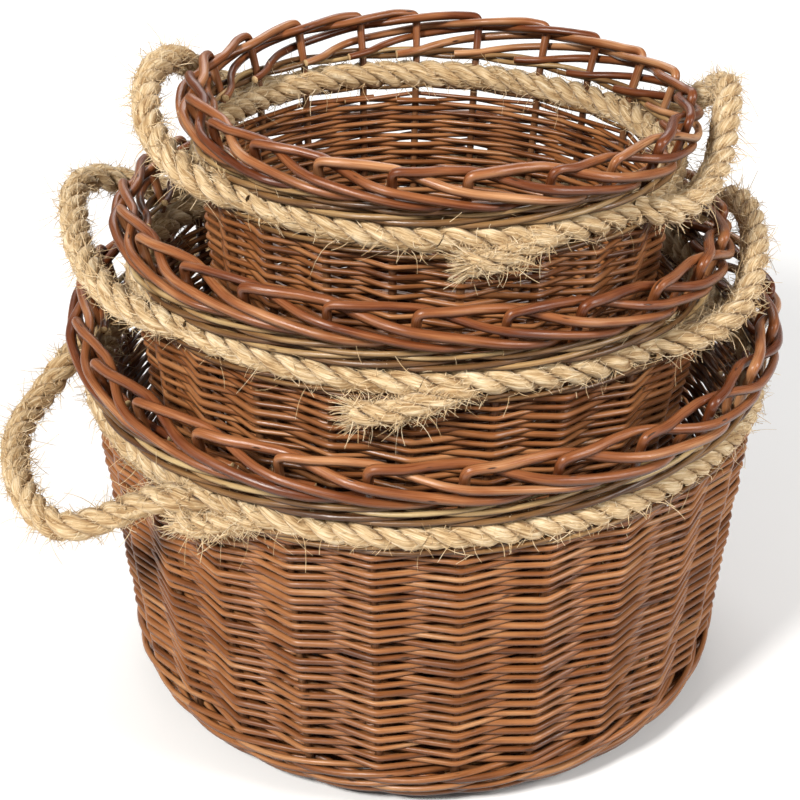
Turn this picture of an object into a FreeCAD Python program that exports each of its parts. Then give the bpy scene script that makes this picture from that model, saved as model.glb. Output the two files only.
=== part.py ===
import FreeCAD
import Part
import Sketcher
import math
import os

# Nest of three round willow baskets with rope handles, in millimetres, +Z up.
# The origin is the centre of the large basket's underside. Every basket is drawn
# upright about its own Z axis, standing on z = 0, and its Placement then puts it
# where it sits in the nest. Angles go from the front (-Y) towards the right (+X).

Vector = FreeCAD.Vector
doc = FreeCAD.newDocument("basket_nest")
sheet = doc.addObject("Spreadsheet::Sheet", "sizes")

# ---------------------------------------------------------------- driving sizes
COMMON = {
    "stake_diameter": 7.0,       # upright willow rods
    "weave_layer": 5.5,          # one layer of weaving rods, inside or outside the stakes
    "wale_layer": 6.5,           # thicker rods of the wale rows
    "rope_diameter": 21.0,
    "base_thickness": 16.0,
    "base_stick_diameter": 6.4,
    "base_stick_gap": 2.5,       # between the sticks of a bundle, where they cross
    "upsett_height": 46.0,       # top of the first thick rows above the floor
    "lower_wale_height": 7.0,    # the single row under the rope
    "border_inside": 13.0,       # border's reach inwards from the stakes
    "border_outside": 19.0,      # border's reach outwards from the stakes
    "border_round": 8.0,
    "inner_corner": 12.0,        # slope between the floor and the wall inside
    "rope_tail_share": 0.8,      # the tail's diameter, as a share of the rope's
    "tail_gap": 0.4,             # between the tail and the wale that it lies on
    "hole_clearance": 0.1,       # a rod in the hole that the weaving leaves for it
    "stake_end_gap": 0.8,        # a stake's top to the border that stands on it
}
# An inner basket's radii are less than those of the basket around it by its insets,
# and its rim stands higher by its rise.
BASKETS = {
    "large": {
        "height": 358.0, "rim_radius": 288.0, "foot_radius": 258.0, "corner_round": 30.0,
        "rope_drop": 64.0, "border_height": 43.0, "stake_count": 26, "first_stake": -77.0,
        "rim_x": 0.0, "rim_y": 0.0, "lean_back": 0.0, "lean_right": 0.0,
        "stick_pairs": 4,
    },
    "medium": {
        "height": 330.0, "rim_inset": 45.0, "foot_inset": 53.0, "corner_round": 28.0,
        "rope_drop": 60.0, "border_height": 40.0, "stake_count": 24, "first_stake": -76.0,
        "rim_x": -1.5, "rim_y": 0.0, "rim_rise": 82.0, "lean_back": 5.0, "lean_right": 2.3,
        "stick_pairs": 3,
    },
    "small": {
        "height": 300.0, "rim_inset": 46.0, "foot_inset": 33.0, "corner_round": 26.0,
        "rope_drop": 53.0, "border_height": 36.0, "stake_count": 22, "first_stake": -76.0,
        "rim_x": 12.0, "rim_y": 9.0, "rim_rise": 94.0, "lean_back": 2.9, "lean_right": 1.8,
        "stick_pairs": 3,
    },
}
BASKET_AROUND = {"medium": "large", "small": "medium"}
# Routes of the rope handles in each basket's own frame: (x, y, height above the rope band).
# Each loop leaves the band at its first point and comes back to it at its last.
HANDLES = {
    "large": {
        "left": [(-208, -222, -6), (-238, -218, -28), (-290, -216, -46), (-322, -178, -36),
                 (-338, -128, -36), (-344, -76, -34), (-328, -30, -26), (-304, 6, -2)],
        "right": [(208, 222, -2), (226, 238, -30), (234, 229, -68), (250, 190, -100),
                  (262, 146, -102), (281, 108, -72), (294, 84, -32), (293, 80, -2)],
    },
    "medium": {
        "left": [(-219, -138, 0), (-253, -108, 10), (-277, -60, 18), (-290, -8, 24),
                 (-302, 46, 34), (-292, 90, 34), (-262, 118, 20), (-240, 138, 6), (-210, 151, 2)],
        "right": [(219, -138, 2), (252, -104, 10), (270, -58, 22), (279, -6, 36),
                  (279, 46, 46), (270, 86, 42), (254, 112, 20), (228, 121, 2)],
    },
    "small": {
        "left": [(-181, -115, 2), (-208, -92, 14), (-228, -60, 24), (-238, -22, 37),
                 (-239, 18, 47), (-229, 56, 50), (-219, 88, 38), (-205, 112, 14), (-170, 131, -1)],
        "right": [(185, -108, -8), (208, -78, -2), (226, -38, 10), (234, 2, 26),
                  (241, 38, 46), (239, 76, 38), (225, 102, 14), (184, 114, 0)],
    },
}
# The loose tail of each rope: where it lies outside the band, as angles along the band,
# and how far it sits below the band's middle at each end.
ROPE_ENDS = {
    "large": {"from_angle": -39.0, "to_angle": -26.0, "below_from": 22.0, "below_to": 12.0},
    "medium": {"from_angle": -11.0, "to_angle": 9.0, "below_from": 24.0, "below_to": 10.0},
    "small": {"from_angle": 5.0, "to_angle": 25.0, "below_from": 14.0, "below_to": 8.0},
}
ARC_SHARE = 0.45         # how much of a run each arc of a bar takes up
STAKE_REACH = 2.4        # a stake's run inside the base, in corner roundings
STICK_FAN = 75.0         # half the spread of a bundle of base sticks, in degrees
BUNDLE_SPREAD = 1.5      # where the sticks start to fan out, in half widths of the bundle
STICK_END_GAP = 6.0      # between a base stick's end and the stakes' run
LAYER_GAP = 0.2          # between the middle of the base and each bundle
CORNER_SHARE = 0.3       # height of the upsett's lower bevel, as a share of its corner
TAIL_STEPS = 4
VOLUME_ERROR = 0.01


def fill_sheet():
    """Write every driving size, and those that follow from two of them, one alias a cell."""
    rows = list(COMMON.items())
    for basket, sizes in BASKETS.items():
        rows += [(basket + "_" + name, value) for name, value in sizes.items()]
        if basket in BASKET_AROUND:
            pair = (BASKET_AROUND[basket], basket)
            rows.append((basket + "_rim_radius", "=%s_rim_radius - %s_rim_inset" % pair))
            rows.append((basket + "_foot_radius", "=%s_foot_radius - %s_foot_inset" % pair))
            rows.append((basket + "_rim_z", "=%s_rim_z + %s_rim_rise" % pair))
        else:
            rows.append((basket + "_rim_z", "=%s_height" % basket))
    for number, (alias, value) in enumerate(rows, start=1):
        sheet.set("A%d" % number, alias)
        sheet.set("B%d" % number, str(value))
        sheet.setAlias("B%d" % number, alias)
    doc.recompute()


fill_sheet()


def size(alias):
    return float(sheet.get(alias))


def value_of(expression):
    """The number that an expression over the sheet's cells gives now."""
    return float(sheet.evalExpression(expression))


def bound(expression):
    """The same expression as another object has to write it."""
    words = expression.split(" ")
    return " ".join("sizes." + word if word[0].isalpha() else word for word in words)


# ------------------------------------------------------------- shared geometry
def stake_line(basket, height):
    """Radius of the stakes' middle line at a height, as an expression."""
    b = basket + "_"
    run = "( %sheight - %scorner_round )" % (b, b)
    rise = "( %s - %scorner_round )" % (height, b)
    return "( %sfoot_radius + ( %srim_radius - %sfoot_radius ) * %s / %s )" % (b, b, b, rise, run)


def nest_placement(basket):
    """Where a basket stands in the nest, from its rim's centre and its lean."""
    b = basket + "_"
    back = FreeCAD.Rotation(Vector(1, 0, 0), -size(b + "lean_back"))
    right = FreeCAD.Rotation(Vector(0, 1, 0), size(b + "lean_right"))
    turn = back.multiply(right)
    rim = Vector(size(b + "rim_x"), size(b + "rim_y"), size(b + "rim_z"))
    foot = rim - turn.multVec(Vector(0, 0, size(b + "height")))
    return FreeCAD.Placement(foot, turn)


def polar(radius, angle, height):
    turn = math.radians(angle)
    return Vector(radius * math.sin(turn), -radius * math.cos(turn), height)


def round_tube(points, diameter, report=None):
    """A round bar along straight runs joined by tangent arcs, as large as the runs allow."""
    points = [Vector(p) for p in points]
    edges = []
    start = points[0]
    length = 0.0
    radii = []
    for before, corner, after in zip(points, points[1:], points[2:]):
        incoming = corner - before
        outgoing = after - corner
        turn = incoming.getAngle(outgoing)
        reach = ARC_SHARE * min(incoming.Length, outgoing.Length)
        arc_start = corner - incoming.normalize() * reach
        arc_end = corner + outgoing.normalize() * reach
        radius = reach / math.tan(turn / 2)
        inward = ((arc_start + arc_end) * 0.5 - corner).normalize()
        centre = corner + inward * (radius / math.cos(turn / 2))
        middle = centre - inward * radius
        edges.append(Part.LineSegment(start, arc_start).toShape())
        edges.append(Part.Arc(arc_start, middle, arc_end).toShape())
        length += (arc_start - start).Length + radius * turn
        radii.append(radius)
        start = arc_end
    edges.append(Part.LineSegment(start, points[-1]).toShape())
    length += (points[-1] - start).Length
    path = Part.Wire(edges)
    ring = Part.Circle(points[0], points[1] - points[0], diameter / 2).toShape()
    solid = path.makePipeShell([Part.Wire(ring)], True, True)
    section = math.pi * diameter * diameter / 4
    if abs(solid.Volume / (section * length) - 1) > VOLUME_ERROR:
        raise ValueError("a bar's volume doesn't match its length")
    if report:
        print("%s: %.0f mm long, arcs of %s mm" % (report, length, [round(r) for r in radii]))
    return solid


def straight_bar(start, end, diameter):
    run = end - start
    return Part.makeCylinder(diameter / 2, run.Length, start, run)


def turned_body(name, outline, rounded=None):
    """A ring or disc: a closed outline of (radius, height) expressions turned about Z."""
    body = doc.addObject("PartDesign::Body", name + "_body")
    plane = [f for f in body.Origin.OriginFeatures if f.Role == "XZ_Plane"][0]
    sketch = body.newObject("Sketcher::SketchObject", name + "_outline")
    sketch.AttachmentSupport = [(plane, "")]
    sketch.MapMode = "FlatFace"
    corners = [Vector(value_of(r), value_of(z), 0) for r, z in outline]
    count = len(corners)
    for i in range(count):
        sketch.addGeometry(Part.LineSegment(corners[i], corners[(i + 1) % count]), False)
    for i in range(count):
        sketch.addConstraint(Sketcher.Constraint("Coincident", i, 2, (i + 1) % count, 1))
    for i, (r, z) in enumerate(outline):
        for kind, expression in (("DistanceX", r), ("DistanceY", z)):
            number = sketch.addConstraint(
                Sketcher.Constraint(kind, -1, 1, i, 1, value_of(expression)))
            sketch.setExpression("Constraints[%d]" % number, bound(expression))
    turn = body.newObject("PartDesign::Revolution", name + "_turn")
    turn.Profile = sketch
    turn.ReferenceAxis = (sketch, ["V_Axis"])
    turn.Angle = 360
    body.Tip = turn
    doc.recompute()
    if rounded:
        edges = ["Edge%d" % (n + 1) for n, edge in enumerate(turn.Shape.Edges)
                 if isinstance(edge.Curve, Part.Circle) and edge.Curve.Radius > 1]
        fillet = body.newObject("PartDesign::Fillet", name + "_rounding")
        fillet.Base = (turn, edges)
        fillet.Radius = value_of(rounded)
        fillet.setExpression("Radius", bound(rounded))
        body.Tip = fillet
        doc.recompute()
    return body


kept = []


def keep(piece, node, basket):
    """Name a finished piece and put it in its place in the nest."""
    piece.Label = node
    piece.Placement = nest_placement(basket)
    kept.append(piece)


def feature(name, shape):
    piece = doc.addObject("Part::Feature", name)
    piece.Shape = shape
    return piece


def drilled(name, base, tool):
    """The base with the holes that the rods pass through."""
    cut = doc.addObject("Part::Cut", name)
    cut.Base = base
    cut.Tool = tool
    doc.recompute()
    if cut.Shape.Volume >= base.Shape.Volume:
        raise ValueError(name + " has no holes")
    return cut


# ------------------------------------------------------------------ the pieces
def stake_points(basket):
    """One stake: out of the base, round the corner and up to the border."""
    b = basket + "_"
    foot = size(b + "foot_radius")
    corner = size(b + "corner_round")
    level = size("base_thickness") / 2
    top = size(b + "height") - size(b + "border_height") - size("stake_end_gap")
    low = value_of(stake_line(basket, "base_thickness / 2"))
    high = value_of(stake_line(basket, repr(top)))
    inner = foot - STAKE_REACH * corner
    return [(inner, level), (low, level), (high, top)]


def stake_group(basket, diameter, longer=0.0):
    """All stakes of a basket, evenly spaced, as separate solids, or the holes for them."""
    b = basket + "_"
    profile = stake_points(basket)
    count = int(size(b + "stake_count"))
    solids = []
    for number in range(count):
        angle = size(b + "first_stake") + number * 360.0 / count
        line = [polar(r, angle, z) for r, z in profile]
        direction = (line[-1] - line[-2]).normalize()
        line[-1] = line[-1] + direction * longer
        solids.append(round_tube(line, diameter))
    return Part.makeCompound(solids)


def stick_group(basket, diameter):
    """The crossed base sticks: two bundles, one over the other, that fan out to the edge."""
    b = basket + "_"
    count = int(size(b + "stick_pairs"))
    reach = size(b + "foot_radius") - STAKE_REACH * size(b + "corner_round") - STICK_END_GAP
    stick = size("base_stick_diameter")
    middle = size("base_thickness") / 2
    spacing = stick + size("base_stick_gap")
    solids = []
    for layer, turn in ((-1, 0), (1, 90)):
        height = middle + layer * (stick / 2 + LAYER_GAP)
        for number in range(count):
            place = number - (count - 1) / 2.0
            side = place * spacing
            fan = math.radians(place * STICK_FAN / count)
            half = BUNDLE_SPREAD * spacing * count / 2
            run = reach - half
            end_x = half + run * math.cos(fan)
            end_y = side + run * math.sin(fan)
            line = [Vector(-end_x, end_y, height), Vector(-half, side, height),
                    Vector(half, side, height), Vector(end_x, end_y, height)]
            if place == 0:
                bar = straight_bar(line[0], line[-1], diameter)
            else:
                bar = round_tube(line, diameter)
            bar.rotate(Vector(0, 0, 0), Vector(0, 0, 1), turn)
            solids.append(bar)
    return Part.makeCompound(solids)


def wall_ring(name, basket, low, high, layer, rounded=None):
    """A ring of weaving on both sides of the stakes, following their slope."""
    reach = "( stake_diameter / 2 + %s )" % layer
    outline = [
        (stake_line(basket, low) + " - " + reach, low),
        (stake_line(basket, low) + " + " + reach, low),
        (stake_line(basket, high) + " + " + reach, high),
        (stake_line(basket, high) + " - " + reach, high),
    ]
    return turned_body(name, outline, rounded)


def build_basket(basket):
    b = basket + "_"
    clearance = 2 * size("hole_clearance")
    border_low = "( %sheight - %sborder_height )" % (b, b)
    rope_level = "( %sheight - %srope_drop )" % (b, b)
    rope_top = "( %s + rope_diameter / 2 )" % rope_level
    rope_foot = "( %s - rope_diameter / 2 )" % rope_level
    wall_top = "( %s - lower_wale_height )" % rope_foot
    base_edge = "( %sfoot_radius - %scorner_round )" % (b, b)

    stakes = feature(b + "stakes", stake_group(basket, size("stake_diameter")))
    keep(stakes, b + "stakes", basket)
    holes = feature(b + "stake_holes",
                    stake_group(basket, size("stake_diameter") + clearance, longer=clearance))

    sticks = feature(b + "base_sticks", stick_group(basket, size("base_stick_diameter")))
    keep(sticks, b + "base_sticks", basket)
    stick_holes = stick_group(basket, size("base_stick_diameter") + clearance)
    base_holes = feature(b + "base_holes", Part.makeCompound([holes.Shape, stick_holes]))

    # The woven base is a flat disc that ends where the wall's corner begins.
    disc = turned_body(b + "base_disc", [("0", "0"), (base_edge, "0"),
                                         (base_edge, "base_thickness"), ("0", "base_thickness")])
    keep(drilled(b + "base", disc, base_holes), b + "base_weave", basket)

    # The upsett turns from the base up into the wall, round outside and inside.
    outer = stake_line(basket, "upsett_height") + " + ( stake_diameter / 2 + wale_layer )"
    inner = stake_line(basket, "upsett_height") + " - ( stake_diameter / 2 + wale_layer )"
    low_outer = stake_line(basket, "base_thickness") + " + ( stake_diameter / 2 + wale_layer )"
    low_inner = stake_line(basket, "base_thickness") + " - ( stake_diameter / 2 + wale_layer )"
    low_foot = low_outer + " - %scorner_round" % b
    shoulder = "%scorner_round * %s" % (b, CORNER_SHARE)
    upsett = turned_body(b + "upsett_turn", [
        (base_edge, "0"), (low_foot, "0"), (low_outer + " - " + shoulder, shoulder),
        (low_outer, "%scorner_round" % b), (outer, "upsett_height"), (inner, "upsett_height"),
        (low_inner, "base_thickness + inner_corner"),
        (low_inner + " - inner_corner", "base_thickness"),
        (base_edge, "base_thickness"),
    ])
    keep(drilled(b + "upsett", upsett, holes), b + "upsett_wale", basket)

    weave = wall_ring(b + "weave_turn", basket, "upsett_height", wall_top, "weave_layer")
    keep(drilled(b + "weave", weave, holes), b + "wall_weave", basket)

    lower = wall_ring(b + "lower_turn", basket, wall_top, rope_foot, "wale_layer")
    keep(drilled(b + "lower", lower, holes), b + "lower_wale", basket)

    upper = wall_ring(b + "upper_turn", basket, rope_top, border_low, "wale_layer")
    keep(drilled(b + "upper", upper, holes), b + "upper_wale", basket)

    # The rope runs round at one level with the stakes through its strands.
    rope = doc.addObject("Part::Torus", b + "rope_ring")
    rope.setExpression("Radius1", bound(stake_line(basket, rope_level)))
    rope.setExpression("Radius2", "sizes.rope_diameter / 2")
    rope.Placement = FreeCAD.Placement(Vector(0, 0, value_of(rope_level)), FreeCAD.Rotation())
    rope.setExpression("Placement.Base.z", bound(rope_level))
    doc.recompute()
    keep(drilled(b + "rope", rope, holes), b + "rope_band", basket)

    # The border stands on the last wale row and hides the stakes' turned-down tops.
    high = "%sheight + stake_diameter / 2" % b
    border = turned_body(b + "border_turn", [
        (stake_line(basket, border_low) + " - border_inside", border_low),
        (stake_line(basket, border_low) + " + border_outside", border_low),
        (stake_line(basket, high) + " + border_outside", high),
        (stake_line(basket, high) + " - border_inside", high),
    ], rounded="border_round")
    border.Label = b + "border_body"
    keep(border, b + "border", basket)

    build_rope_end(basket, value_of(rope_level))
    for side, route in HANDLES[basket].items():
        points = [Vector(x, y, z + value_of(rope_level)) for x, y, z in route]
        node = "%s_handle_%s" % (basket, side)
        loop = round_tube(points, size("rope_diameter"), report=node)
        keep(feature(node + "_rope", loop), node, basket)


def build_rope_end(basket, rope_level):
    """The rope's tail, laid outside the band in short runs that follow the wall."""
    place = ROPE_ENDS[basket]
    tail = size("rope_tail_share") * size("rope_diameter")
    reach = size("stake_diameter") / 2 + size("wale_layer") + tail / 2 + size("tail_gap")
    points = []
    for step in range(TAIL_STEPS + 1):
        share = step / TAIL_STEPS
        angle = place["from_angle"] + share * (place["to_angle"] - place["from_angle"])
        below = place["below_from"] + share * (place["below_to"] - place["below_from"])
        level = rope_level - below
        points.append(polar(value_of(stake_line(basket, repr(level))) + reach, angle, level))
    keep(feature(basket + "_tail", round_tube(points, tail)), basket + "_rope_end", basket)


for basket_name in BASKETS:
    build_basket(basket_name)
doc.recompute()

# --------------------------------------------------------------- check and write
for item in doc.Objects:
    if "Invalid" in item.State or "Error" in item.State:
        raise ValueError("failed object: " + item.Name)
for piece in kept:
    if piece.Shape.isNull() or not piece.Shape.isValid():
        raise ValueError("bad shape: " + piece.Label)

os.makedirs("parts", exist_ok=True)
for piece in kept:
    piece.Shape.exportStep("parts/" + piece.Label + ".step")
print(len(kept), "nodes written")
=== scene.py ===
import math

import bpy
import numpy as np
from mathutils import Matrix, Vector


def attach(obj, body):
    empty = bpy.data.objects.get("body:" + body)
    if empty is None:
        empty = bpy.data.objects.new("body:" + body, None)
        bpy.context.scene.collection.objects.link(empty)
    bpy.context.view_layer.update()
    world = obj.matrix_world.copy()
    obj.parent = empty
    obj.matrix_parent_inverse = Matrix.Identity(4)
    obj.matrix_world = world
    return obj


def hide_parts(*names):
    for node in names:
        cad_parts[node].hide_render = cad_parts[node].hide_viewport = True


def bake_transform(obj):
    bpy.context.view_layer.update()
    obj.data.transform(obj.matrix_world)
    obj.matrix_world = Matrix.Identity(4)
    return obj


# Nest of three round willow baskets with rope handles. Sizes are in millimetres in
# each basket's own frame (its foot's centre at the origin, +Z up, angles from the
# front towards the right), and pieces are made in metres in the row frame.

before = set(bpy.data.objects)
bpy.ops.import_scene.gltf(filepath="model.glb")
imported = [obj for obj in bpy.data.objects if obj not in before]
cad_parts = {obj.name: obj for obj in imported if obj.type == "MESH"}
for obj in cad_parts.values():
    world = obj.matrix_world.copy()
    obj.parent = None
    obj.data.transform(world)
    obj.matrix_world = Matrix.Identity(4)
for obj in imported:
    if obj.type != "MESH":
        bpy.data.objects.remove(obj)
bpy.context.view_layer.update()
rng = np.random.default_rng(20)
MM = 0.001

# ------------------------------------------------------------------- the sizes
STAKE_RADIUS = 3.5
STAKE_LEVEL = 8.0        # height of the stakes where they leave the base
UPSETT_TOP = 46.0
WALE_LAYER = 6.5         # the thick rods' layer outside the stakes
LOWER_WALE_HEIGHT = 7.0
ROPE_RADIUS = 10.5
TAIL_RADIUS = 8.4
TAIL_GAP = 0.4           # between the tail and the wale that it lies on
STICK_RADIUS = 3.2       # base sticks
STICK_SPACING = 8.9
STICK_FAN = 75.0         # degrees that a bundle of base sticks shares out between them
ARC_SHARE = 0.45         # share of the stake's run inside the base that its bend takes
STAKE_REACH = 2.4        # that run, in corner roundings
LARGE_BORDER = 43.0      # height of the border that the rods' route is drawn for
# "lay" is the rope's length for one full turn of its strands, "rod" the border rods' radius,
# and "end" says where the rope's tail starts and stops: two angles in degrees, and how far
# it lies under the band's middle line at each.
BASKETS = {
    "large": {
        "height": 358.0, "rim_radius": 288.0, "foot_radius": 258.0, "corner": 30.0,
        "rope_drop": 64.0, "border": 43.0, "count": 26, "first": -77.0,
        "rim": (0.0, 0.0, 358.0), "lean_back": 0.0, "lean_right": 0.0,
        "sticks": 4, "lay": 56.0, "rod": 4.2, "end": (-39.0, -26.0, 22.0, 12.0),
    },
    "medium": {
        "height": 330.0, "rim_radius": 243.0, "foot_radius": 205.0, "corner": 28.0,
        "rope_drop": 60.0, "border": 40.0, "count": 24, "first": -76.0,
        "rim": (-1.5, 0.0, 440.0), "lean_back": 5.0, "lean_right": 2.3,
        "sticks": 3, "lay": 66.0, "rod": 4.1, "end": (-11.0, 9.0, 24.0, 10.0),
    },
    "small": {
        "height": 300.0, "rim_radius": 197.0, "foot_radius": 172.0, "corner": 26.0,
        "rope_drop": 53.0, "border": 36.0, "count": 22, "first": -76.0,
        "rim": (12.0, 9.0, 534.0), "lean_back": 2.9, "lean_right": 1.8,
        "sticks": 3, "lay": 60.0, "rod": 3.9, "end": (5.0, 25.0, 14.0, 8.0),
    },
}
# Each loop's route: (x, y, height above the rope band), with both ends inside the band.
LOOPS = {
    "large": {
        "left": [(-159, -236, 0), (-208, -222, -6), (-238, -218, -28), (-290, -216, -46),
                 (-322, -178, -36), (-338, -128, -36), (-344, -76, -34), (-328, -30, -26),
                 (-304, 6, -2), (-280, 54, 0)],
        "right": [(159, 236, 0), (208, 222, -2), (226, 238, -30), (234, 229, -68),
                  (250, 190, -100), (262, 146, -102), (281, 108, -72), (294, 84, -32),
                  (293, 80, -2), (283, 30, 0)],
    },
    "medium": {
        "left": [(-177, -160, 0), (-219, -138, 0), (-253, -108, 10), (-277, -60, 18),
                 (-290, -8, 24), (-302, 46, 34), (-292, 90, 34), (-262, 118, 20),
                 (-240, 138, 6), (-210, 151, 2), (-167, 171, 0)],
        "right": [(177, -160, 0), (219, -138, 2), (252, -104, 10), (270, -58, 22),
                  (279, -6, 36), (279, 46, 46), (270, 86, 42), (254, 112, 20),
                  (228, 121, 2), (188, 147, 0)],
    },
    "small": {
        "left": [(-142, -134, 0), (-181, -115, 2), (-208, -92, 14), (-228, -60, 24),
                 (-238, -22, 37), (-239, 18, 47), (-229, 56, 50), (-219, 88, 38),
                 (-205, 112, 14), (-170, 131, -1), (-131, 144, 0)],
        "right": [(147, -129, 0), (185, -108, -8), (208, -78, -2), (226, -38, 10),
                  (234, 2, 26), (241, 38, 46), (239, 76, 38), (225, 102, 14),
                  (184, 114, 0), (148, 126, 0)],
    },
}


def placement(basket):
    b = BASKETS[basket]
    turn = (Matrix.Rotation(-math.radians(b["lean_back"]), 3, "X")
            @ Matrix.Rotation(math.radians(b["lean_right"]), 3, "Y"))
    foot = Vector(b["rim"]) - turn @ Vector((0, 0, b["height"]))
    return np.array(turn), np.array(foot)


def to_world(basket, points):
    turn, foot = placement(basket)
    return (np.asarray(points, float) @ turn.T + foot) * MM


# ------------------------------------------------------------------ the camera
FOCAL_PIXELS = 1835.0
IMAGE_PIXELS = 800.0
CAMERA_PLACE = (0.0, -1.4, 1.073)
CAMERA_TILT = 59.3       # degrees up from straight down
CAMERA_ROLL = 0.0041
camera_data = bpy.data.cameras.new("camera")
camera_data.sensor_width = 36.0
camera_data.lens = camera_data.sensor_width * FOCAL_PIXELS / IMAGE_PIXELS
camera_data.shift_x = -0.03125
camera = bpy.data.objects.new("camera", camera_data)
bpy.context.scene.collection.objects.link(camera)
camera.matrix_world = (
    Matrix.Translation(CAMERA_PLACE)
    @ Matrix.Rotation(math.radians(CAMERA_TILT), 4, "X")
    @ Matrix.Rotation(CAMERA_ROLL, 4, "Z")
)
bpy.context.scene.camera = camera


# ------------------------------------------------------------------- materials
class Nodes:
    """A short way to lay out one material's nodes."""

    def __init__(self, name):
        self.material = bpy.data.materials.new(name)
        self.material.use_nodes = True
        self.tree = self.material.node_tree
        self.shader = self.tree.nodes["Principled BSDF"]

    def node(self, kind, inputs=None, **settings):
        made = self.tree.nodes.new(kind)
        for key, value in settings.items():
            setattr(made, key, value)
        for key, value in (inputs or {}).items():
            if isinstance(value, bpy.types.NodeSocket):
                self.tree.links.new(value, made.inputs[key])
            else:
                made.inputs[key].default_value = value
        return made

    def attribute(self, name, output="Fac"):
        return self.node("ShaderNodeAttribute", attribute_name=name).outputs[output]

    def stretched(self, vector, scale):
        return self.node("ShaderNodeMapping", {"Vector": vector, "Scale": scale}).outputs[0]

    def noise(self, vector, scale, detail=3.0, roughness=0.55):
        place = self.stretched(vector, scale)
        made = self.node("ShaderNodeTexNoise",
                         {"Vector": place, "Scale": 1.0, "Detail": detail, "Roughness": roughness})
        return made.outputs["Fac"]

    def maths(self, operation, a, b=0.0, clamp=False):
        made = self.node("ShaderNodeMath", {0: a, 1: b}, operation=operation, use_clamp=clamp)
        return made.outputs[0]

    def spread(self, value, low, high, to_low=0.0, to_high=1.0):
        made = self.node("ShaderNodeMapRange", {
            "Value": value, "From Min": low, "From Max": high, "To Min": to_low, "To Max": to_high})
        return made.outputs[0]

    def ramp(self, value, stops):
        made = self.node("ShaderNodeValToRGB", {"Fac": value})
        band = made.color_ramp
        while len(band.elements) < len(stops):
            band.elements.new(0.5)
        for element, (place, colour) in zip(band.elements, stops):
            element.position = place
            element.color = (*colour, 1.0)
        return made.outputs["Color"]

    def mix(self, share, a, b, blend="MIX"):
        made = self.node("ShaderNodeMix", data_type="RGBA", blend_type=blend)
        for key, value in ((0, share), (6, a), (7, b)):
            if isinstance(value, bpy.types.NodeSocket):
                self.tree.links.new(value, made.inputs[key])
            elif key == 0:
                made.inputs[key].default_value = value
            else:
                made.inputs[key].default_value = (*value, 1.0)
        return made.outputs[2]

    def bump(self, height, strength, distance):
        made = self.node("ShaderNodeBump",
                         {"Height": height, "Strength": strength, "Distance": distance})
        self.tree.links.new(made.outputs[0], self.shader.inputs["Normal"])

    def into(self, socket, value):
        if isinstance(value, bpy.types.NodeSocket):
            self.tree.links.new(value, self.shader.inputs[socket])
        else:
            self.shader.inputs[socket].default_value = value


def willow(name, stops, fleck, gloss=(0.22, 0.4)):
    """Bark of one willow kind: a tone for each rod, long streaks, blotches, bud scars and
    painted shade that darkens the undersides."""
    n = Nodes(name)
    grain = n.attribute("grain", "Vector")
    tone = n.attribute("tone")
    streak = n.noise(grain, (900.0, 900.0, 26.0), 4.0, 0.6)
    blotch = n.noise(grain, (90.0, 90.0, 16.0), 2.0)
    value = n.maths("ADD", tone, n.spread(blotch, 0.3, 0.7, -0.2, 0.2))
    value = n.maths("ADD", value, n.spread(streak, 0.3, 0.7, -0.12, 0.12), clamp=True)
    colour = n.ramp(value, stops)
    place = n.stretched(grain, (130.0, 130.0, 26.0))
    cells = n.node("ShaderNodeTexVoronoi", {"Vector": place, "Scale": 1.0}).outputs["Distance"]
    scar = n.spread(cells, 0.06, 0.12, 1.0, 0.0)
    colour = n.mix(scar, colour, fleck)
    rings = n.noise(grain, (700.0, 700.0, 0.0), 2.0)
    wood = n.ramp(rings, [(0.3, (0.42, 0.27, 0.12)), (0.7, (0.72, 0.52, 0.28))])
    # painted shade: the rods' undersides are darkened towards near black
    colour = n.mix(n.maths("MULTIPLY", n.attribute("painted_shade"), 0.95), colour, (0.02, 0.005, 0.002))
    colour = n.mix(n.attribute("cut"), colour, wood)
    n.into("Base Color", colour)
    n.into("Roughness", n.spread(streak, 0.3, 0.7, *gloss))
    n.into("Specular IOR Level", 0.36)
    height = n.maths("ADD", streak, n.maths("MULTIPLY", scar, 1.5))
    n.bump(height, 0.5, 0.0005)
    return n.material


def rope_material():
    """Pale sisal: fine fibres along each yarn, with painted shade that makes it browner and darker
    down in the grooves.
    """
    n = Nodes("sisal_rope")
    grain = n.attribute("grain", "Vector")
    fibre = n.noise(grain, (650.0, 650.0, 45.0), 5.0, 0.7)
    patch = n.noise(grain, (220.0, 220.0, 60.0), 2.0)
    value = n.maths("ADD", n.attribute("tone"), n.spread(fibre, 0.3, 0.7, -0.5, 0.5))
    value = n.maths("ADD", value, n.spread(patch, 0.3, 0.7, -0.22, 0.22), clamp=True)
    colour = n.ramp(value, [
        (0.0, (0.24, 0.13, 0.05)), (0.3, (0.42, 0.27, 0.125)),
        (0.6, (0.61, 0.445, 0.25)), (1.0, (0.8, 0.67, 0.46)),
    ])
    # painted shade: darker brown down in the grooves between the strands
    colour = n.mix(n.attribute("cut"), colour, (0.14, 0.065, 0.02))
    n.into("Base Color", colour)
    n.into("Roughness", n.spread(fibre, 0.3, 0.7, 0.62, 0.85))
    n.into("Specular IOR Level", 0.3)
    n.into("Sheen Weight", 0.15)
    n.into("Sheen Roughness", 0.4)
    n.bump(n.maths("ADD", fibre, n.maths("MULTIPLY", patch, 1.4)), 0.9, 0.0011)
    return n.material


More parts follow.
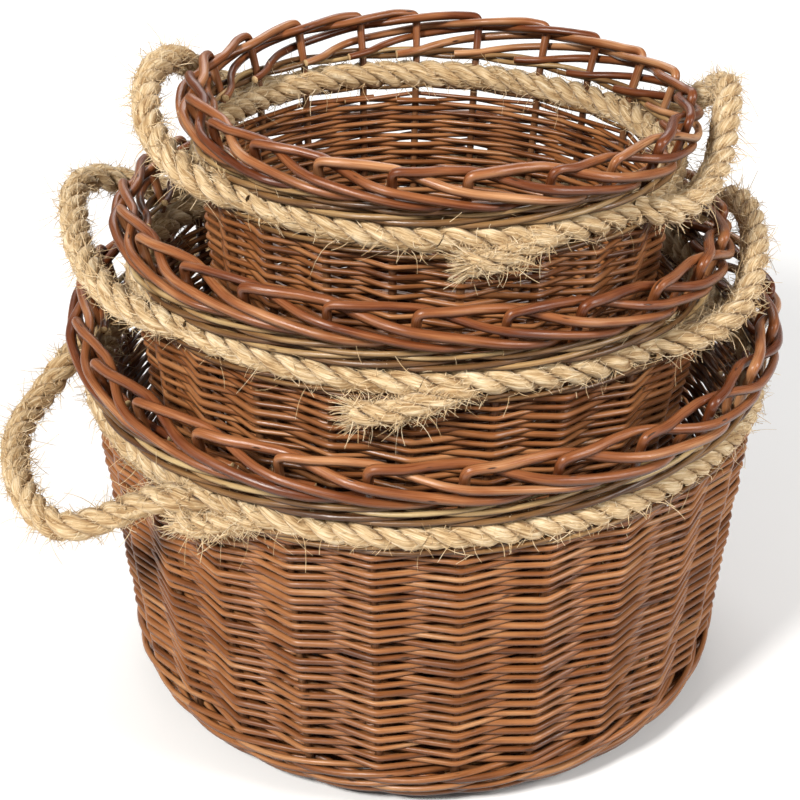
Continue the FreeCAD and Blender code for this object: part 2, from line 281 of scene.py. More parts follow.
MATERIALS = {
    "willow_brown": willow("willow_brown", [
        (0.0, (0.085, 0.026, 0.008)), (0.35, (0.22, 0.075, 0.022)),
        (0.65, (0.37, 0.15, 0.053)), (1.0, (0.58, 0.32, 0.15)),
    ], (0.06, 0.025, 0.01)),
    "willow_red": willow("willow_red", [
        (0.0, (0.06, 0.013, 0.004)), (0.35, (0.14, 0.036, 0.01)),
        (0.65, (0.28, 0.098, 0.033)), (1.0, (0.52, 0.27, 0.125)),
    ], (0.05, 0.018, 0.007)),
    "willow_green": willow("willow_green", [
        (0.0, (0.08, 0.032, 0.011)), (0.35, (0.2, 0.1, 0.036)),
        (0.65, (0.37, 0.22, 0.09)), (1.0, (0.56, 0.41, 0.2)),
    ], (0.09, 0.05, 0.02)),
    "willow_stick": willow("willow_stick", [
        (0.0, (0.075, 0.028, 0.012)), (0.5, (0.2, 0.085, 0.035)), (1.0, (0.36, 0.18, 0.08)),
    ], (0.05, 0.02, 0.01)),
    "sisal_rope": rope_material(),
}


# --------------------------------------------------------------- tubes to mesh
def soften(values):
    """Pulls each value a little towards its neighbours."""
    values[1:-1] = 0.5 * values[1:-1] + 0.25 * (values[:-2] + values[2:])


def on_circle(radius, angle, height):
    """Points round Z, with angles from the front towards the right."""
    return np.stack([radius * np.sin(angle), -radius * np.cos(angle), height], axis=-1)


def random_tone(middle, spread, low=0.0):
    """A rod's own tone, from low to 1."""
    return np.clip(rng.normal(middle, spread), low, 1)


def unit(vectors):
    return vectors / np.maximum(np.linalg.norm(vectors, axis=-1, keepdims=True), 1e-9)


def lengths_along(line):
    steps = np.linalg.norm(np.diff(line, axis=0), axis=1)
    return np.concatenate([[0.0], np.cumsum(steps)])


def carried_sides(line):
    """A sideways direction at each point of a line, that turns as little as it can."""
    tangent = unit(np.gradient(line, axis=0))
    start = np.cross(tangent[0], (0.0, 0.0, 1.0))
    if np.linalg.norm(start) < 0.2:
        start = np.cross(tangent[0], (1.0, 0.0, 0.0))
    sides = [unit(start)]
    for t in tangent[1:]:
        last = sides[-1]
        sides.append(unit(last - t * float(last @ t)))
    return tangent, np.array(sides)


GRAIN_OFFSET = 4000.0    # each rod starts at a random place on the bark, up to here
PAINTED_SHADE_EDGE = 0.4     # where the painted shade towards a rod's underside starts
CUT_BULGE = 0.12
CUT_RIM = 0.94
CUT_CORE = 0.03
SHARP_EDGE = 66.0


class Tubes:
    """Many tubes in one mesh, with the values that their materials read: tone for the rod,
    a mark for sawn faces and for the painted shade in rope grooves, the painted shade of
    undersides, grain for the place on the rod."""

    def __init__(self):
        self.points, self.quads, self.grain = [], [], []
        self.tone, self.cut, self.painted_shade = [], [], []
        self.count = 0

    def add(self, line, radius, tone, sides=7, up=(0.0, 0.0, 1.0), section=None, turn=None,
            groove=None, cut_ends=True):
        """One tube. section gives each side's share of the radius, turn how far the section
        has rotated at each point, and groove each vertex's depth between neighbours, kept as
        painted shade for the rope's grooves."""
        line = np.asarray(line, float)
        size = len(line)
        tangent = unit(np.gradient(line, axis=0))
        side = unit(np.cross(tangent, np.broadcast_to(up, line.shape)))
        top = np.cross(side, tangent)
        radius = np.broadcast_to(np.asarray(radius, float), (size,))
        round_ = np.arange(sides) * 2 * math.pi / sides
        angle = round_[None, :] + (0.0 if turn is None else np.asarray(turn)[:, None])
        reach = radius[:, None] * (1.0 if section is None else section)
        across = np.cos(angle) * reach
        upward = np.sin(angle) * reach
        rings = (line[:, None, :] + across[..., None] * side[:, None, :]
                 + upward[..., None] * top[:, None, :])
        run = lengths_along(line) + rng.uniform(0, GRAIN_OFFSET)
        round_ = np.broadcast_to(round_, (size, sides))
        grain = np.stack([np.cos(round_) * reach, np.sin(round_) * reach,
                          np.broadcast_to(run[:, None], (size, sides))], axis=-1)
        cut = np.zeros((size, sides)) if groove is None else groove
        if cut_ends:
            rings, grain, cut = self.closed(line, tangent, radius, rings, grain, cut)
        rows = len(rings)
        first = np.arange(rows - 1)[:, None] * sides
        here = np.arange(sides)[None, :]
        after = (here + 1) % sides
        quads = np.stack([first + here, first + sides + here,
                          first + sides + after, first + after], axis=-1).reshape(-1, 4)
        self.points.append(rings.reshape(-1, 3))
        # painted shade: the more a vertex faces downwards, the darker its rod is painted there
        middle = rings.mean(axis=1, keepdims=True)
        facing = unit(rings - middle)[..., 2]
        self.painted_shade.append(np.clip(PAINTED_SHADE_EDGE - facing, 0.0, 1.0).reshape(-1))
        self.quads.append(quads + self.count)
        self.grain.append(grain.reshape(-1, 3))
        self.cut.append(np.broadcast_to(cut, (rows, sides)).reshape(-1))
        self.tone.append(np.full(rows * sides, float(tone)))
        self.count += rows * sides

    @staticmethod
    def closed(line, tangent, radius, rings, grain, cut):
        """Adds a flat sawn face at both ends."""
        for end, way in ((0, -1.0), (-1, 1.0)):
            middle = line[end] + way * tangent[end] * radius[end] * CUT_BULGE
            face = [middle + (rings[end] - line[end]) * CUT_RIM,
                    middle + (rings[end] - line[end]) * CUT_CORE]
            face_grain = [grain[end], grain[end] * (CUT_CORE, CUT_CORE, 1.0)]
            marks = np.ones((2, rings.shape[1]))
            if way > 0:
                rings = np.concatenate([rings, face])
                grain = np.concatenate([grain, face_grain])
                cut = np.concatenate([cut, marks])
            else:
                rings = np.concatenate([face[::-1], rings])
                grain = np.concatenate([face_grain[::-1], grain])
                cut = np.concatenate([marks, cut])
        return rings, grain, cut

    def build(self, name, basket, finish, node=None, body=None):
        """The mesh in the row frame, riding on its body and standing for its CAD node."""
        points = to_world(basket, np.concatenate(self.points))
        quads = np.concatenate(self.quads)
        mesh = bpy.data.meshes.new(name)
        mesh.vertices.add(len(points))
        mesh.vertices.foreach_set("co", points.ravel())
        mesh.loops.add(quads.size)
        mesh.loops.foreach_set("vertex_index", quads.ravel().astype(np.int32))
        mesh.polygons.add(len(quads))
        mesh.polygons.foreach_set("loop_start", np.arange(0, quads.size, 4, dtype=np.int32))
        mesh.polygons.foreach_set("use_smooth", np.ones(len(quads), bool))
        mesh.update(calc_edges=True)
        mesh.set_sharp_from_angle(angle=math.radians(SHARP_EDGE))
        for key, values in (("tone", self.tone), ("cut", self.cut), ("painted_shade", self.painted_shade)):
            layer = mesh.attributes.new(key, "FLOAT", "POINT")
            layer.data.foreach_set("value", np.concatenate(values).astype(np.float32))
        layer = mesh.attributes.new("grain", "FLOAT_VECTOR", "POINT")
        grain = (np.concatenate(self.grain) * MM).astype(np.float32)
        layer.data.foreach_set("vector", grain.ravel())
        mesh.materials.append(MATERIALS[finish])
        piece = bpy.data.objects.new(name, mesh)
        bpy.context.scene.collection.objects.link(piece)
        if node:
            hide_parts(node)
        if body:
            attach(piece, body)
        return piece


# ------------------------------------------------------------ the wall's shape
def slope_radius(b, z):
    """Radius of the stakes' middle line on the straight wall."""
    share = (z - b["corner"]) / (b["height"] - b["corner"])
    return b["foot_radius"] + (b["rim_radius"] - b["foot_radius"]) * share


for b in BASKETS.values():
    lean = math.atan2(b["rim_radius"] - b["foot_radius"], b["height"] - b["corner"])
    b["bend"] = math.pi / 2 - lean
    b["reach"] = ARC_SHARE * STAKE_REACH * b["corner"]
    b["bend_radius"] = b["reach"] / math.tan(b["bend"] / 2)
    b["rope_level"] = b["height"] - b["rope_drop"]
    b["wall_top"] = b["rope_level"] - ROPE_RADIUS - LOWER_WALE_HEIGHT
    b["border_low"] = b["height"] - b["border"]
    b["shift"] = rng.normal(0.0, 0.035, b["count"])


def wall_point(b, units, run, out):
    """A point out from the stakes' line, at a distance up it from where it leaves the base.
    units counts stakes round the basket from the first."""
    units, run, out = np.broadcast_arrays(*[np.asarray(v, float) for v in (units, run, out)])
    low = slope_radius(b, STAKE_LEVEL)
    bend = np.clip(run / b["bend_radius"], 0.0, b["bend"])
    past = run - b["bend_radius"] * bend
    r = low - b["reach"] + (b["bend_radius"] + out) * np.sin(bend) + past * np.cos(bend)
    z = STAKE_LEVEL + b["bend_radius"] - (b["bend_radius"] + out) * np.cos(bend)
    z = z + past * np.sin(bend)
    angle = np.radians(b["first"] + units * 360.0 / b["count"])
    return on_circle(r, angle, z)


def run_at(b, z):
    """How far up the stake's line a height on the straight wall is."""
    arc = b["bend_radius"] * b["bend"]
    arc_top = STAKE_LEVEL + b["bend_radius"] * (1 - math.cos(b["bend"]))
    return arc + (z - arc_top) / math.sin(b["bend"])


def stake_units(b, whole):
    """Where whole-numbered stakes really stand, a little off even spacing."""
    return whole + b["shift"][np.mod(whole, b["count"])]


def drift(b, units, run, waves):
    """A slow rise and fall that neighbouring rows share."""
    angle = units * 2 * math.pi / b["count"]
    total = np.zeros_like(angle)
    for times, phase, climb, amount in waves:
        total = total + amount * np.sin(times * angle + phase + climb * run)
    return total


def make_waves(amount):
    return [(times, rng.uniform(0, 6.28), rng.uniform(-0.02, 0.02), amount / (0.6 + 0.4 * times))
            for times in (1, 2, 3, 5, 8)]


# ---------------------------------------------------------------------- willow
def weave_wall(b):
    """Single rods woven in front of one stake and behind the next, row on row."""
    rods = Tubes()
    waves = make_waves(1.3)
    places = np.array([0.0, 0.05, 0.16, 0.36, 0.64, 0.84, 0.95])
    rod_radius, thinning = 2.75, 0.55
    pitch, closing = 5.5, 1.7
    front_tail, back_tail = 0.32, 0.38
    level = UPSETT_TOP + 2.0
    row = 0
    while level < b["wall_top"] - 1.0:
        share = (level - UPSETT_TOP) / (b["wall_top"] - UPSETT_TOP)
        thick = (rod_radius - thinning * share) * rng.normal(1.0, 0.07)
        start = int(rng.integers(0, b["count"] // 2)) * 2 + row % 2
        whole = start + np.arange(b["count"] + 3) - 1
        side = np.where((whole + row) % 2 == 0, -1.0, 1.0)
        out = side * (STAKE_RADIUS + thick * 0.92) + rng.normal(0, 0.35, len(whole))
        out[-2:] -= 2.0 * thick
        height = run_at(b, level) + rng.normal(0, 0.4, len(whole))
        units = (whole[:-1, None] + places[None, :]).ravel()
        spot = np.repeat(np.arange(len(whole) - 1), len(places))
        part = np.tile(places, len(whole) - 1)[:, None]
        height = height + drift(b, whole, height, waves)
        anchors = wall_point(b, stake_units(b, whole), height, out)
        line = anchors[spot] * (1 - part) + anchors[spot + 1] * part
        at_stake = part[1:-1, 0] == 0
        line[1:-1][at_stake] = (0.4 * line[1:-1] + 0.3 * (line[:-2] + line[2:]))[at_stake]
        line = line[(units > start - front_tail) & (units < start + b["count"] + back_tail)]
        taper = np.linspace(1.14, 0.84, len(line))
        wobble = 1 + 0.05 * np.sin(np.linspace(0, rng.uniform(20, 50), len(line)))
        rods.add(line, thick * taper * wobble, random_tone(0.5, 0.12, 0.05))
        level += pitch - closing * share
        row += 1
    return rods


WALE_PITCH = 3.8         # rise of one full turn of a wale, in rod radii
WALE_STEPS = 7           # points along a wale rod from one stake to the next
WALE_OVERLAP = 9         # points that a wale rod runs on beside the next one


def add_wale(rods, b, low_run, turns, thick, tones, waves):
    """Three rods worked together: each passes outside two stakes and inside the third."""
    pitch = WALE_PITCH * thick
    keys = [0.0, 0.5, 1.0, 1.5, 2.0, 2.5, 3.0]
    outs = [1.0, 1.25, 1.0, 0.15, -1.0, -0.1, 1.0]
    lifts = [-0.26, 0.0, 0.26, 0.34, 0.0, -0.36, -0.26]
    fine = np.arange(0, b["count"] * turns, 1 / WALE_STEPS)
    for rod in range(3):
        phase = np.mod(fine - rod, 3.0)
        out = np.interp(phase, keys, outs) * (STAKE_RADIUS + thick)
        lift = np.interp(phase, keys, lifts) * pitch
        run = low_run + pitch * fine / b["count"] + lift
        soften(out)
        soften(run)
        run = run + drift(b, fine, run, waves) + rng.normal(0, 0.25)
        line = wall_point(b, fine, run, out)
        piece = int(b["count"] * WALE_STEPS * rng.uniform(0.5, 0.9))
        for first in range(0, len(line) - WALE_OVERLAP + 1, piece):
            part = line[first:first + piece + WALE_OVERLAP]
            if len(part) < 12:
                continue
            taper = np.linspace(1.12, 0.86, len(part)) * rng.normal(1, 0.05)
            tone = np.clip(rng.choice(tones) + rng.normal(0, 0.08), 0.02, 1)
            rods.add(part, thick * taper, tone, sides=8)


def upsett(b):
    """The thick rows that turn the base up into the wall."""
    rods = Tubes()
    thick = 2.9
    low = 0.42 * b["bend_radius"]
    turns = (run_at(b, UPSETT_TOP) - low) / (WALE_PITCH * thick) - 0.35
    add_wale(rods, b, low, turns, thick, (0.4, 0.5, 0.6), make_waves(0.4))
    return rods


def lower_wale(b):
    """One thin row under the rope."""
    rods = Tubes()
    low = run_at(b, b["wall_top"] + 2.2)
    add_wale(rods, b, low, 1.0, 1.95, (0.2, 0.35, 0.5), make_waves(0.3))
    return rods


def upper_wale(b):
    """The rows between the rope and the border, with pale rods among the dark ones."""
    rods = Tubes()
    low = run_at(b, b["rope_level"] + ROPE_RADIUS + 2.6)
    add_wale(rods, b, low, 1.35, 2.35, (0.15, 0.35, 0.75), make_waves(0.4))
    return rods


def stakes(b):
    """The upright rods, from inside the base to just under the border."""
    rods = Tubes()
    top = run_at(b, b["border_low"]) - 0.5
    for number in range(b["count"]):
        run = np.concatenate([[-18.0, 0.0], np.linspace(6, top, 26)])
        place = number + b["shift"][number] * np.clip(run / UPSETT_TOP, 0, 1)
        line = wall_point(b, place, run, 0.0)
        angle = math.radians(b["first"] + number * 360.0 / b["count"])
        sideways = (math.cos(angle), math.sin(angle), 0.0)
        rods.add(line, np.linspace(3.6, 3.3, len(line)), random_tone(0.5, 0.15),
                 sides=10, up=sideways)
    return rods


# One border rod's route: stakes passed, distance out from the stakes' line, height from the
# rim. BORDER_SPANS is how the rod's length is shared out between those points.
BORDER_ROUTE = np.array([
    (0.0, 0.0, -47.0), (0.0, 1.5, -36.0), (0.0, 4.2, -22.0), (0.0, 6.2, -11.0),
    (0.005, 7.0, -4.2), (0.04, 7.5, -0.9), (0.13, 7.0, -0.3), (0.35, 4.6, -0.4),
    (0.65, -0.6, -0.8), (1.0, -4.2, -2.6), (1.25, -1.6, -5.6), (1.5, 4.6, -9.4),
    (1.75, 11.2, -12.4), (2.0, 14.6, -15.2), (2.5, 14.4, -20.6), (3.0, 13.6, -26.4),
    (3.3, 10.6, -29.6), (3.6, 3.0, -32.6), (3.85, -5.6, -35.0), (4.1, -8.8, -36.6),
    (4.3, -9.4, -37.8),
])
BORDER_SPANS = np.array([
    0.0, 1.0, 1.4, 1.1, 0.7, 0.5, 0.6, 1.1, 1.4, 1.6, 1.3, 1.3, 1.3, 1.3, 2.2, 2.2, 1.5, 1.5,
    1.4, 1.3, 1.0,
])


def border(b):
    """Every stake turns down to the right at the rim: behind the next one, in front of the
    two after that, and in again behind the fourth, where its sawn end shows inside."""
    rods = Tubes()
    scale = b["border"] / LARGE_BORDER
    loose_rod = b["count"] // 3
    place = np.cumsum(BORDER_SPANS)
    fine = np.arange(0, place[-1], 0.22)
    for number in range(b["count"]):
        own = BORDER_ROUTE.copy()
        own[:, 0] *= rng.normal(1.0, 0.012)
        own[8:, 1] += np.interp(place[8:], place[[8, 13, 16, 20]], rng.normal(0, 0.8, 4))
        own[7:, 2] += np.interp(place[7:], place[[7, 10, 14, 20]], rng.normal(0, 1.0, 4))
        if number == loose_rod:
            own[9:13, 2] += (1.5, 4.5, 6.0, 3.0)
            own[9:13, 1] += (1.0, 3.0, 3.0, 1.0)
        smooth = np.stack([np.interp(fine, place, own[:, axis]) for axis in range(3)], axis=1)
        for _ in range(3):
            soften(smooth)
        units = number + b["shift"][number] + smooth[:, 0]
        z = b["height"] + smooth[:, 2] * scale
        r = slope_radius(b, z) + smooth[:, 1]
        angle = np.radians(b["first"] + units * 360.0 / b["count"])
        line = on_circle(r, angle, z)
        outward = on_circle(1.0, angle, np.zeros_like(angle))
        length = np.linspace(0, 1, len(line))
        thick = b["rod"] * rng.normal(1.0, 0.05) * np.interp(
            length, [0, 0.12, 0.25, 1.0], [0.82, 0.96, 1.0, 0.86])
        thick = thick * (1 + 0.03 * np.sin(length * rng.uniform(15, 40) + rng.uniform(0, 6)))
        rods.add(line, thick, random_tone(0.55, 0.15, 0.1), sides=12, up=outward)
    return rods


def base_sticks(b):
    """Two crossed bundles of thick sticks that fan out to the edge."""
    rods = Tubes()
    reach = slope_radius(b, STAKE_LEVEL) - b["reach"] - 6.0
    for layer, turn in ((-1, 0.0), (1, math.pi / 2)):
        for number in range(b["sticks"]):
            place = number - (b["sticks"] - 1) / 2.0
            side = place * STICK_SPACING
            fan = math.radians(place * STICK_FAN / b["sticks"])
            half = 1.5 * STICK_SPACING * b["sticks"] / 2
            run = reach - half
            end = half + run * math.cos(fan)
            swing = side + run * math.sin(fan)
            x = np.array([-end, -half, half, end])
            y = np.array([swing, side, side, swing])
            fine = np.linspace(0, 3, 40)
            path = np.stack([np.interp(fine, range(4), x), np.interp(fine, range(4), y)], axis=1)
            for _ in range(4):
                soften(path)
            z = np.full(len(path), STAKE_LEVEL + layer * 3.4)
            z += np.clip(np.hypot(path[:, 0], path[:, 1]) / reach, 0, 1) * -layer * 2.6
            c, s = math.cos(turn), math.sin(turn)
            line = np.stack([path[:, 0] * c - path[:, 1] * s,
                             path[:, 0] * s + path[:, 1] * c, z], axis=1)
            rods.add(line, STICK_RADIUS, rng.uniform(0.3, 0.8), sides=10)
    return rods


def base_weave(b):
    """Rows woven round the fanned sticks, from the cross out to the stakes."""
    rods = Tubes()
    ends = b["sticks"] * 4
    edge = slope_radius(b, STAKE_LEVEL) - b["reach"] + 4.0
    radius = STICK_SPACING * b["sticks"] * 0.5 + 6.0
    pitch = 4.7
    row = 0
    while radius < edge:
        units = np.arange(0, ends + 1.01, 1 / 8)
        swing = np.cos(units * math.pi) * (1 if row % 2 else -1)
        angle = units * 2 * math.pi / ends + math.pi / ends
        r = radius + rng.normal(0, 0.3) + 0.8 * np.sin(angle * 3 + row * 0.4)
        z = STAKE_LEVEL + swing * pitch
        line = np.stack([r * np.cos(angle), r * np.sin(angle), z], axis=1)
        thick = rng.normal(2.35, 0.14)
        rods.add(line, np.linspace(1.1, 0.88, len(line)) * thick,
                 random_tone(0.5, 0.17, 0.05))
        radius += pitch
        row += 1
    return rods


# ------------------------------------------------------------------------ rope
STRANDS = 3
STRAND_SIDES = 18        # two for each of a strand's nine yarns
STRAND_RADIUS = 0.5      # as a share of the rope's radius
STRAND_OUT = 0.6         # a strand's middle from the rope's middle, as the same share
SUNK_LENGTH = 22.0       # how much of a loop narrows towards each end
FIBRE_AXIS = (0.3, 0.5, 0.8)
FIBRE_START = 0.9        # where a loose fibre starts, as a share of the rope's radius
BRUSH_OPENING = 0.55


def lay_rope(rods, line, radius, lay, start=0.0, fray=0.0, sunk_ends=False):
    """Three strands twisted to the left round a line, each of nine ridged yarns. fray opens
    the strands towards the line's end, and sunk_ends narrows both ends."""
    tangent, side = carried_sides(line)
    top = np.cross(side, tangent)
    run = lengths_along(line)
    for strand in range(STRANDS):
        turn = start - run * 2 * math.pi / lay + strand * 2 * math.pi / STRANDS
        loose = 1.0 + fray * np.clip((run - run[-1]) / 30.0 + 1.0, 0, 1)
        swell = 1.06 + 0.06 * np.sin(run / rng.uniform(14, 22) + rng.uniform(0, 6))
        swell = swell + 0.03 * np.sin(run / rng.uniform(4, 6) + rng.uniform(0, 6))
        if sunk_ends:
            to_end = np.minimum(run, run[-1] - run)
            swell = swell * np.interp(to_end, [0, SUNK_LENGTH], [0.6, 1.0])
        outward = np.cos(turn)[:, None] * side + np.sin(turn)[:, None] * top
        centre = line + outward * (radius * STRAND_OUT * loose)[:, None]
        corner = np.arange(STRAND_SIDES)
        yarn = 1 + 0.05 * np.where(corner % 2 == 0, 1.0, -1.0)
        ragged = rng.normal(0, 0.03, (len(line), STRAND_SIDES))
        ragged[1:-1] = (ragged[:-2] + ragged[1:-1] + ragged[2:]) / 1.7
        twist = run * 0.16
        outwards = np.sin(corner[None, :] * 2 * math.pi / STRAND_SIDES + twist[:, None])
        # painted shade on each strand's inner side, where it presses against the others
        groove = np.clip(0.05 - outwards, 0, 1) * 1.2
        rods.add(centre, radius * STRAND_RADIUS * swell, random_tone(0.5, 0.05),
                 sides=STRAND_SIDES, up=outward, section=yarn[None, :] + ragged, turn=twist,
                 groove=np.clip(groove, 0, 1), cut_ends=False)


def add_fuzz(rods, line, radius, amount, reach):
    """Loose fibres that stand off a rope. reach is the longest's length before it curls."""
    tangent, side = carried_sides(line)
    top = np.cross(side, tangent)
    for _ in range(amount):
        spot = int(rng.integers(0, len(line)))
        around = rng.uniform(0, 2 * math.pi)
        out = math.cos(around) * side[spot] + math.sin(around) * top[spot]
        way = (tangent[spot] * rng.choice((-1.0, 1.0)) * rng.uniform(0.3, 1.2)
               + out * rng.uniform(0.15, 0.9) + rng.normal(0, 0.35, 3))
        way = unit(way)
        curl = rng.normal(0, 0.8, 3)
        curl = curl - way * float(curl @ way)
        length = reach * rng.uniform(0.35, 1.0) ** 1.6
        share = np.linspace(0, 1, 5)[:, None]
        start = line[spot] + out * radius * FIBRE_START * rng.uniform(0.95, 1.2)
        hair = start + way * share * length + curl * (share ** 2) * length * 0.5
        hair[:, 2] = np.maximum(hair[:, 2], 1.0)
        rods.add(hair, np.linspace(0.34, 0.16, 5) * rng.uniform(0.7, 1.4),
                 random_tone(0.66, 0.14), sides=3,
                 up=unit(np.cross(way, FIBRE_AXIS)), cut_ends=False)


def add_brush(rods, tip, way, radius, amount, length):
    """The splayed fibres of a cut rope end."""
    side = unit(np.cross(way, (0.0, 0.0, 1.0)))
    top = np.cross(side, way)
    for _ in range(amount):
        around = rng.uniform(0, 2 * math.pi)
        place = radius * math.sqrt(rng.uniform(0, 1))
        out = math.cos(around) * side + math.sin(around) * top
        heading = unit(way + out * BRUSH_OPENING * place / radius + rng.normal(0, 0.16, 3))
        share = np.linspace(0, 1, 6)[:, None]
        bend = rng.normal(0, 0.3, 3)
        reach = length * rng.uniform(0.45, 1.0)
        hair = tip - way * 6.0 + out * place + heading * share * reach
        hair = hair + bend * (share ** 2) * reach * 0.5
        rods.add(hair, np.linspace(0.55, 0.16, 6) * rng.uniform(0.6, 1.3),
                 random_tone(0.68, 0.16), sides=4,
                 up=unit(np.cross(heading, FIBRE_AXIS)), cut_ends=False)


ROPE_STEP = 2.0          # between the points along a rope


def band_line(b):
    """The rope's middle line round the basket, a little uneven."""
    radius = slope_radius(b, b["rope_level"])
    count = int(2 * math.pi * radius / ROPE_STEP)
    angle = np.linspace(0, 2 * math.pi, count + 1)
    r = radius + 0.8 * np.sin(angle * 5 + 1.0) + 0.5 * np.sin(angle * 11 + 2.0)
    z = b["rope_level"] + 0.9 * np.sin(angle * 4 + 0.4) + 0.6 * np.sin(angle * 9)
    return on_circle(r, angle, z)


def tail_line(b):
    """The loose end, from its cut face to where it slips in under the band."""
    start, stop, below_start, below_stop = b["end"]
    share = np.linspace(0, 1, 60)
    angle = np.radians(start + share * (stop - start))
    z = b["rope_level"] - below_start + share * (below_start - below_stop)
    sunk = np.clip((share - 0.3) / 0.7, 0, 1)
    radius = slope_radius(b, z) + STAKE_RADIUS + WALE_LAYER + TAIL_RADIUS + TAIL_GAP
    return on_circle(radius - 15.0 * sunk, angle, z + 7.0 * sunk)


def resample(line):
    """The same line with its points evenly spaced."""
    run = lengths_along(line)
    count = int(run[-1] / ROPE_STEP)
    fine = np.linspace(0, run[-1], count)
    return np.stack([np.interp(fine, run, line[:, axis]) for axis in range(3)], axis=1)


def route_line(name, points):
    """Points along the smooth NURBS spline that has the route's points as control points."""
    data = bpy.data.curves.new(name, "CURVE")
    data.dimensions = "3D"
    data.resolution_u = 24
    spline = data.splines.new("NURBS")
    spline.points.add(len(points) - 1)
    for point, place in zip(spline.points, points):
        point.co = (*place, 1.0)
    spline.order_u = 3
    spline.use_endpoint_u = True
    holder = bpy.data.objects.new(name, data)
    bpy.context.scene.collection.objects.link(holder)
    mesh = bpy.data.meshes.new_from_object(holder)
    line = np.array([v.co for v in mesh.vertices], float)
    bpy.data.objects.remove(holder)
    bpy.data.meshes.remove(mesh)
    return line


SHORT_FIBRE = 12.0


def make_loop(basket, side):
    """One rope handle, with both ends of its rope inside the band."""
    b = BASKETS[basket]
    body = "%s_handle_%s" % (basket, side)
    points = [(x, y, z + b["rope_level"]) for x, y, z in LOOPS[basket][side]]
    line = resample(route_line(body + "_route", points))
    tubes = Tubes()
    lay_rope(tubes, line, ROPE_RADIUS, b["lay"], start=rng.uniform(0, 6), sunk_ends=True)
    rope = tubes.build(body + "_strands", basket, "sisal_rope", node=body)
    tubes = Tubes()
    between_roots = line[8:-8]
    add_fuzz(tubes, between_roots, ROPE_RADIUS, len(line) * 7, SHORT_FIBRE)
    add_fuzz(tubes, between_roots, ROPE_RADIUS, len(line), 26.0)
    fuzz = tubes.build(body + "_fuzz", basket, "sisal_rope")
    root_a, root_b = np.array(points[1]), np.array(points[-2])
    middle = (root_a + root_b) / 2
    along = unit(root_b - root_a)
    outward = np.array(points[len(points) // 2]) - middle
    outward = unit(outward - along * float(outward @ along))
    for piece in (rope, fuzz):
        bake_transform(piece)


for basket in BASKETS:
    for side in ("left", "right"):
        make_loop(basket, side)

WILLOW_PIECES = (
    (base_sticks, "base_sticks", "willow_stick"),
    (base_weave, "base_weave", "willow_brown"),
    (stakes, "stakes", "willow_stick"),
    (upsett, "upsett_wale", "willow_brown"),
    (weave_wall, "wall_weave", "willow_brown"),
    (lower_wale, "lower_wale", "willow_green"),
    (upper_wale, "upper_wale", "willow_green"),
    (border, "border", "willow_red"),
)


def make_band(basket, b, body):
    """The rope round the basket and its loose fibres."""
    band = band_line(b)
    length = lengths_along(band)[-1]
    tubes = Tubes()
    lay_rope(tubes, band, ROPE_RADIUS, length / round(length / b["lay"]))
    tubes.build(basket + "_band_strands", basket, "sisal_rope", node=basket + "_rope_band",
                body=body)
    tubes = Tubes()
    add_fuzz(tubes, band, ROPE_RADIUS, int(len(band) * 4.5), SHORT_FIBRE)
    add_fuzz(tubes, band, ROPE_RADIUS, int(len(band) * 0.7), 28.0)
    tubes.build(basket + "_band_fuzz", basket, "sisal_rope", body=body)


def make_tail(basket, b, body):
    """The rope's loose end, with its frayed cut face."""
    tail = tail_line(b)
    tubes = Tubes()
    lay_rope(tubes, tail[::-1], TAIL_RADIUS, b["lay"] * 0.85, fray=0.2)
    tubes.build(basket + "_tail_strands", basket, "sisal_rope", node=basket + "_rope_end",
                body=body)
    tubes = Tubes()
    add_fuzz(tubes, tail, TAIL_RADIUS, 500, SHORT_FIBRE)
    add_fuzz(tubes, tail, TAIL_RADIUS, 120, 28.0)
    add_brush(tubes, tail[0], unit(tail[0] - tail[3]), TAIL_RADIUS * 0.9, 150, 20.0)
    tubes.build(basket + "_tail_fuzz", basket, "sisal_rope", body=body)


for basket, b in BASKETS.items():
    body = basket + "_basket"
    for make, part, finish in WILLOW_PIECES:
        node = "%s_%s" % (basket, part)
        make(b).build(node + "_rods", basket, finish, node=node, body=body)
    make_band(basket, b, body)
    make_tail(basket, b, body)


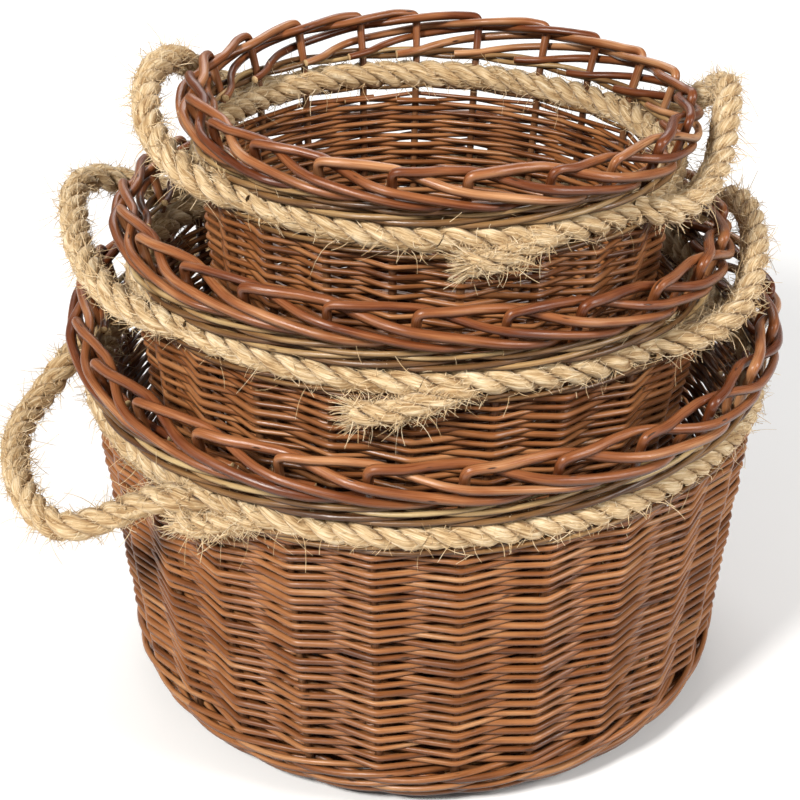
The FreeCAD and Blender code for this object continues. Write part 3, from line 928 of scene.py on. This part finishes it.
# --------------------------------------------------------------- floor & light
FLOOR_HALF = 6.0
FLOOR_DROP = 0.0015      # how far the floor lies under the CAD's lowest point


def floor_material():
    """White, a little uneven."""
    n = Nodes("floor_white")
    speck = n.noise(n.node("ShaderNodeTexCoord").outputs["Object"], (6.0, 6.0, 6.0), 2.0)
    share = n.spread(speck, 0.2, 0.8, 0.0, 0.06)
    n.into("Base Color", n.mix(share, (0.93, 0.93, 0.93), (0.8, 0.79, 0.78)))
    n.into("Roughness", 0.9)
    return n.material


floor_mesh = bpy.data.meshes.new("floor")
floor_corners = [(-1, -1), (1, -1), (1, 1), (-1, 1)]
floor_mesh.from_pydata([(x * FLOOR_HALF, y * FLOOR_HALF, 0) for x, y in floor_corners], [],
                       [(0, 1, 2, 3)])
floor_mesh.materials.append(floor_material())
floor = bpy.data.objects.new("floor", floor_mesh)
bpy.context.scene.collection.objects.link(floor)
floor.location.z = -FLOOR_DROP


def area_light(name, place, aim, size, power, colour=(1.0, 1.0, 1.0)):
    data = bpy.data.lights.new(name, "AREA")
    data.shape = "DISK"
    data.size = size
    data.energy = power
    data.color = colour
    light = bpy.data.objects.new(name, data)
    bpy.context.scene.collection.objects.link(light)
    light.location = place
    light.rotation_euler = (Vector(aim) - Vector(place)).to_track_quat("-Z", "Y").to_euler()


area_light("key", (-1.3, -1.9, 2.3), (0, 0, 0.3), 0.6, 112.0, (1.0, 0.97, 0.93))
area_light("fill", (2.1, -1.0, 1.7), (0, 0, 0.25), 1.0, 48.0, (1.0, 0.97, 0.94))
area_light("far", (-0.4, 3.4, 2.2), (-0.4, 3.4, 0.0), 3.0, 70.0)
area_light("back", (0.3, 2.2, 2.4), (0, 0, 0.3), 1.6, 12.0)
world = bpy.data.worlds.new("studio")
world.use_nodes = True
background = world.node_tree.nodes["Background"]
background.inputs["Color"].default_value = (1.0, 1.0, 1.0, 1.0)
background.inputs["Strength"].default_value = 0.24
bpy.context.scene.world = world
bpy.context.scene.view_settings.view_transform = "Standard"
